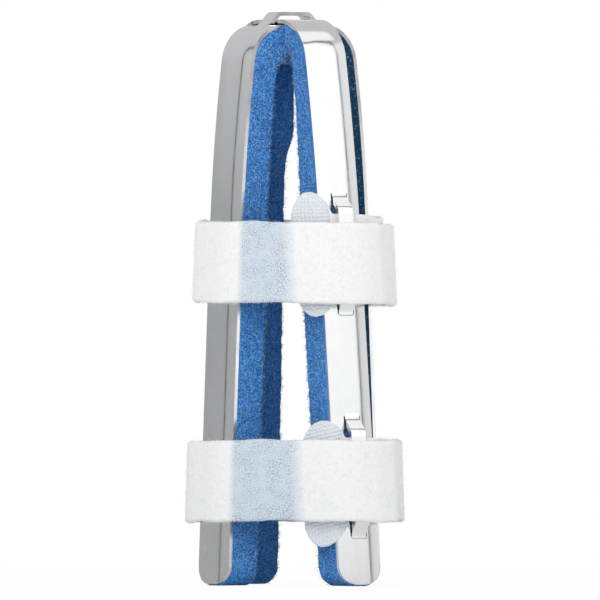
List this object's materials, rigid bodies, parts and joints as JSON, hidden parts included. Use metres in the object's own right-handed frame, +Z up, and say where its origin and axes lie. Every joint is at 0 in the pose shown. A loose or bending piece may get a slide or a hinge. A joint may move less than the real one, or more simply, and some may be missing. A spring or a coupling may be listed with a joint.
{
  "type": "finger splint",
  "caption": "Four-sided finger splint: crossed padded metal arches form a cage over the fingertip, closed round the finger by wrapped fabric straps.",
  "frame": {"origin": "on the floor under the middle of the splint's outline, between the four feet", "axes": "+Z up from the feet to the fingertip dome; strip A bends in the XZ plane and strip B in the YZ plane, with the strap bridges on strip B's leg at -Y"},
  "size_m": [0.037, 0.0384, 0.0899],
  "materials": {
    "aluminium": "bright rolled sheet, soft mirror with fine scuffs",
    "foam": "blue open-cell foam, matt and porous",
    "strap": "white brushed loop fabric, fleecy"
  },
  "bodies": {
    "root": {"strip_a": "aluminium", "strip_b": "aluminium", "foam_a": "foam", "foam_b_front": "foam", "foam_b_back": "foam", "strap_upper": "strap", "strap_lower": "strap"}
  },
  "joints": []
}
